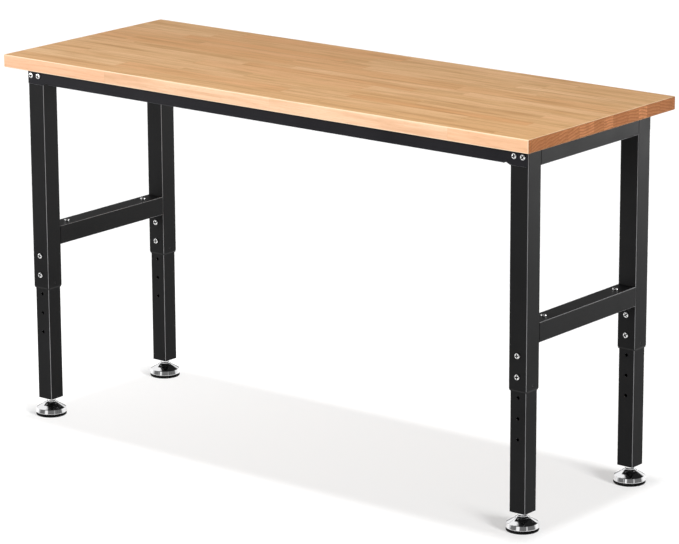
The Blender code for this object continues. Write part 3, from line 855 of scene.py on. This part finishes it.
# A soft box is the way to its middle, its inner and outer angle in degrees, and its strength.
BOXES = (
    ((-0.81, 0.12, 0.57), 28, 40, 1.0),
    ((0.08, -0.98, 0.17), 8, 15, 1.0),
    ((0.91, -0.40, 0.12), 3, 8, 0.8),
    ((0.65, 0.74, 0.14), 8, 15, 0.9),
)


def room(wiring):
    """What a mirror sees in each direction."""
    way = wiring.add("ShaderNodeTexCoord", {}).outputs["Generated"]
    split = wiring.add("ShaderNodeSeparateXYZ", {0: way})
    low = wiring.between(split.outputs[2], 1.0, 0.0, 0.40, 0.54)
    far = wiring.vector("DOT_PRODUCT", way, BEHIND)
    level = wiring.math("MULTIPLY", low, wiring.between(far, 0.0, 1.0, -0.2, 0.3))
    level = wiring.math("MULTIPLY", level, wiring.between(far, 1.0, CARD, 0.90, 0.95))
    for middle, inner, outer, strength in BOXES:
        near = wiring.vector("DOT_PRODUCT", way, Vector(middle).normalized())
        rim, core = (math.cos(math.radians(angle)) for angle in (outer, inner))
        level = wiring.math("MAXIMUM", level, wiring.between(near, 0.0, strength, rim, core))
    return wiring.math("MAXIMUM", level, wiring.between(split.outputs[2], WALLS, CEILING, 0.30, 0.46))


def make_world():
    """White to the camera, the room to mirrors, and a soft even light for everything else."""
    world = bpy.data.worlds.new("studio")
    bpy.context.scene.world = world
    world.use_nodes = True
    wiring = Wiring(world.node_tree)
    rays = wiring.add("ShaderNodeLightPath", {})
    seen = wiring.math("MAXIMUM", rays.outputs["Is Camera Ray"], rays.outputs["Is Transmission Ray"])
    gloss = wiring.math("MULTIPLY", rays.outputs["Is Glossy Ray"], room(wiring))
    dim = wiring.math("MULTIPLY", wiring.math("SUBTRACT", 1.0, wiring.shown()), SKY)
    level = wiring.math("ADD", wiring.math("MAXIMUM", seen, gloss), dim)
    wiring.fill(world.node_tree.nodes["Background"].inputs["Strength"], level)
    world.node_tree.nodes["Background"].inputs["Color"].default_value = (1.0, 1.0, 1.0, 1.0)


make_world()
print("sky:", SKY, "soft boxes:", len(BOXES))

# %% [markdown]
# The light is a plain studio one, and light linking keeps each lamp to its own work. A lamp
# straight overhead draws the shadow under the top. A broad one in front lights all that
# faces it, and a weaker one lights the top's right end. A panel at the left and one at the
# right and behind give the legs their sheen. Only the overhead lamp and two more reach the
# floor: a low one that is stopped by the feet alone, for the short shadows that run off
# them, and a small one that brightens the left end of the shadow.


# %% Lamps
CENTRE = (0, 0, 0.5)


def lamp(kind, name, place, aim, energy, **settings):
    """A lamp of a kind, which looks from one point at another."""
    data = bpy.data.lights.new(name, kind)
    data.energy = energy
    for key, value in settings.items():
        setattr(data, key, value)
    holder = bpy.data.objects.new(name, data)
    holder.location = place
    holder.rotation_euler = (Vector(aim) - Vector(place)).to_track_quat("-Z", "Y").to_euler()
    bpy.context.scene.collection.objects.link(holder)
    return holder


def sun(name, place, share, spread):
    """A distant lamp. A white face that looks at it is lit to a share of white."""
    return lamp("SUN", name, place, CENTRE, share * math.pi, angle=math.radians(spread))


def group(name, members, state="INCLUDE"):
    """A collection that a lamp's light or shadow is limited to, or is kept off."""
    holder = bpy.data.collections.new(name)
    for member in members:
        holder.objects.link(member)
    for member in holder.collection_objects:
        member.light_linking.link_state = state
    return holder


STEEL_ALONE = group("all_but_floor_top_and_cups", [FLOOR, WORKTOP] + FEET, "EXCLUDE")
FLOOR_ALONE = group("floor_alone", [FLOOR])
overhead = sun("overhead", (0, 0.02, 3.5), 0.47, 4)
fill = sun("front_fill", (-1.3, -4.0, 1.5), 0.84, 30)
fill.light_linking.receiver_collection = group("all_but_floor", [FLOOR], "EXCLUDE")
end_fill = sun("end_fill", (4.0, -0.6, 0.7), 0.68, 20)
end_fill.light_linking.receiver_collection = group("worktop_alone", [WORKTOP])
for holder in (overhead, fill):
    holder.visible_glossy = False
left_panel = lamp("AREA", "left_front", (-2.1, -2.1, 1.2), (-0.75, 0, 0.85), 34,
                  shape="RECTANGLE", size=1.1, size_y=1.1)
right_panel = lamp("AREA", "right_back", (2.4, 2.4, 0.95), (0, 0, 0.7), 98,
                   shape="RECTANGLE", size=3.0, size_y=1.8)
for holder in (left_panel, right_panel):
    holder.light_linking.receiver_collection = STEEL_ALONE
low_sun = sun("low_right", (4.0, -0.98, 1.5), 2.0, 16)
low_sun.light_linking.receiver_collection = FLOOR_ALONE
low_sun.light_linking.blocker_collection = group("feet_alone", FEET)
glow = lamp("AREA", "left_floor", (-1.5, 0.1, 1.0), (-0.8, 0.1, 0), 6.5, size=0.8, use_shadow=False)
glow.light_linking.receiver_collection = FLOOR_ALONE

# %% [markdown]
# The camera stands in front and to the right, far away with a long lens, as in the
# photograph: the bench's lines hardly run together. Its place is given by where it aims,
# how far off it stands and its two angles.

# %% Camera
IMAGE_WIDTH = 679
FOCAL_PIXELS = 3486.2
SENSOR = 36.0
YAW = 0.6734
PITCH_DOWN = 0.2591
ROLL = -0.0046
DISTANCE = 8.5136
AIM = Vector((0, 0, 0.5))
AIM_RIGHT = 0.0228
AIM_UP = -0.0506


def make_camera():
    forward = Vector((-math.sin(YAW) * math.cos(PITCH_DOWN), math.cos(YAW) * math.cos(PITCH_DOWN),
                      -math.sin(PITCH_DOWN)))
    right = Vector((math.cos(YAW), math.sin(YAW), 0))
    up = right.cross(forward)
    place = AIM + AIM_RIGHT * right + AIM_UP * up - DISTANCE * forward
    rolled_right = math.cos(ROLL) * right + math.sin(ROLL) * up
    rolled_up = math.cos(ROLL) * up - math.sin(ROLL) * right
    turn = Matrix((rolled_right, rolled_up, -forward)).transposed().to_4x4()
    data = bpy.data.cameras.new("camera")
    data.sensor_fit = "HORIZONTAL"
    data.sensor_width = SENSOR
    data.lens = FOCAL_PIXELS / IMAGE_WIDTH * SENSOR
    camera = bpy.data.objects.new("camera", data)
    camera.matrix_world = Matrix.Translation(place) @ turn
    bpy.context.scene.collection.objects.link(camera)
    bpy.context.scene.camera = camera
    return data.lens


bpy.context.scene.view_settings.view_transform = "Standard"
print("camera lens:", round(make_camera(), 1))
